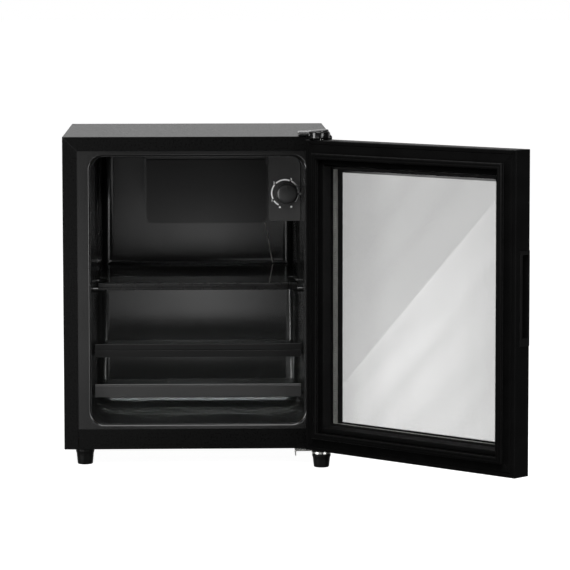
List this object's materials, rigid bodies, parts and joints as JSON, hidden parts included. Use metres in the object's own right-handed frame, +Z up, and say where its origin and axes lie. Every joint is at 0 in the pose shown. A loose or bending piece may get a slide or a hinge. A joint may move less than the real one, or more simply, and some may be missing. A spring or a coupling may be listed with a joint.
{
  "type": "mini fridge",
  "caption": "Tabletop drinks cooler: a black insulated cabinet with slide-out shelves, an ice compartment, a thermostat and a framed glass door hung on the right.",
  "frame": {"origin": "on the floor, under the middle of the whole object's box with the door open as in the picture", "axes": "+Z up, +Y towards the back of the cabinet, +X towards the hinge side (the right, seen from the front)"},
  "size_m": [0.698, 0.7524, 0.5286],
  "materials": {
    "black_painted_steel": "satin",
    "galvanised_steel": "satin",
    "dark_liner_plastic": "satin",
    "insulating_foam": "matte",
    "black_plastic": "satin",
    "gloss_black_plastic": "gloss",
    "door_frame_plastic": "satin",
    "black_rubber": "matte",
    "clear_glass": "gloss",
    "aluminium": "satin",
    "copper_tube": "satin",
    "white_plastic": "matte"
  },
  "bodies": {
    "cabinet": {"cabinet_shell": "black_painted_steel", "bottom_front_rail": "black_painted_steel", "liner": "dark_liner_plastic", "foam_insulation": "insulating_foam", "base_pan": "galvanised_steel", "bay_plate": "galvanised_steel", "back_panel": "black_painted_steel", "foot_front_left": "black_plastic", "foot_front_right": "black_plastic", "foot_rear_left": "black_plastic", "foot_rear_right": "black_plastic", "compressor_base": "galvanised_steel", "compressor": "black_painted_steel", "relay_cover": "black_plastic", "discharge_pipe": "copper_tube", "suction_pipe": "copper_tube", "condenser_coil": "black_painted_steel", "condenser_plate": "black_painted_steel", "cord_gland": "black_plastic", "bottom_hinge_bracket": "galvanised_steel", "bottom_hinge_pin": "galvanised_steel", "top_hinge_bracket": "galvanised_steel", "hinge_cap": "gloss_black_plastic", "evaporator": "aluminium", "evaporator_frame": "black_plastic", "thermostat_housing": "dark_liner_plastic", "thermostat": "galvanised_steel", "sensor_tube": "aluminium", "compressor_grommet_a": "black_rubber", "compressor_grommet_b": "black_rubber", "compressor_grommet_c": "black_rubber", "compressor_grommet_d": "black_rubber", "shelf_peg_front_left": "dark_liner_plastic", "shelf_peg_rear_left": "dark_liner_plastic", "shelf_peg_front_right": "dark_liner_plastic", "shelf_peg_rear_right": "dark_liner_plastic"},
    "door": {"door_frame_hinge": "door_frame_plastic", "door_frame_handle": "door_frame_plastic", "door_frame_top": "door_frame_plastic", "door_frame_bottom": "door_frame_plastic", "glazing_bead_hinge": "door_frame_plastic", "glazing_bead_handle": "door_frame_plastic", "glazing_bead_top": "door_frame_plastic", "glazing_bead_bottom": "door_frame_plastic", "inner_pane": "clear_glass", "outer_pane": "clear_glass", "pane_spacer": "aluminium", "pane_seal": "black_rubber", "door_gasket": "black_rubber", "handle_insert": "black_plastic", "top_hinge_bush": "white_plastic", "bottom_hinge_bush": "white_plastic"},
    "freezer_flap_body": {"freezer_flap": "black_plastic"},
    "knob_body": {"thermostat_knob": "black_plastic"},
    "upper_shelf_body": {"upper_shelf": "clear_glass"},
    "middle_shelf_body": {"middle_shelf_plate": "clear_glass", "middle_shelf_trim": "dark_liner_plastic"},
    "lower_shelf_body": {"lower_shelf_plate": "clear_glass", "lower_shelf_trim": "dark_liner_plastic"}
  },
  "joints": [
    {"name": "door_hinge", "type": "hinge", "parent": "cabinet", "child": "door", "pos_m": [0.05304, -0.08079, 0.27], "axis": [0, 0, 1], "range_deg": [-135, 0]},
    {"name": "flap_hinge", "type": "hinge", "parent": "cabinet", "child": "freezer_flap_body", "pos_m": [-0.12446, 0.05621, 0.47], "axis": [-1, 0, 0], "range_deg": [0, 90]},
    {"name": "thermostat_turn", "type": "hinge", "parent": "cabinet", "child": "knob_body", "pos_m": [0.00304, 0.04221, 0.419], "axis": [0, 1, 0], "range_deg": [-155, 155]},
    {"name": "upper_shelf_slide", "type": "slide", "parent": "cabinet", "child": "upper_shelf_body", "axis": [0, -1, 0], "range_m": [0, 0.2]},
    {"name": "middle_shelf_slide", "type": "slide", "parent": "cabinet", "child": "middle_shelf_body", "axis": [0, -1, 0], "range_m": [0, 0.15]},
    {"name": "lower_shelf_slide", "type": "slide", "parent": "cabinet", "child": "lower_shelf_body", "axis": [0, -1, 0], "range_m": [0, 0.15]}
  ]
}
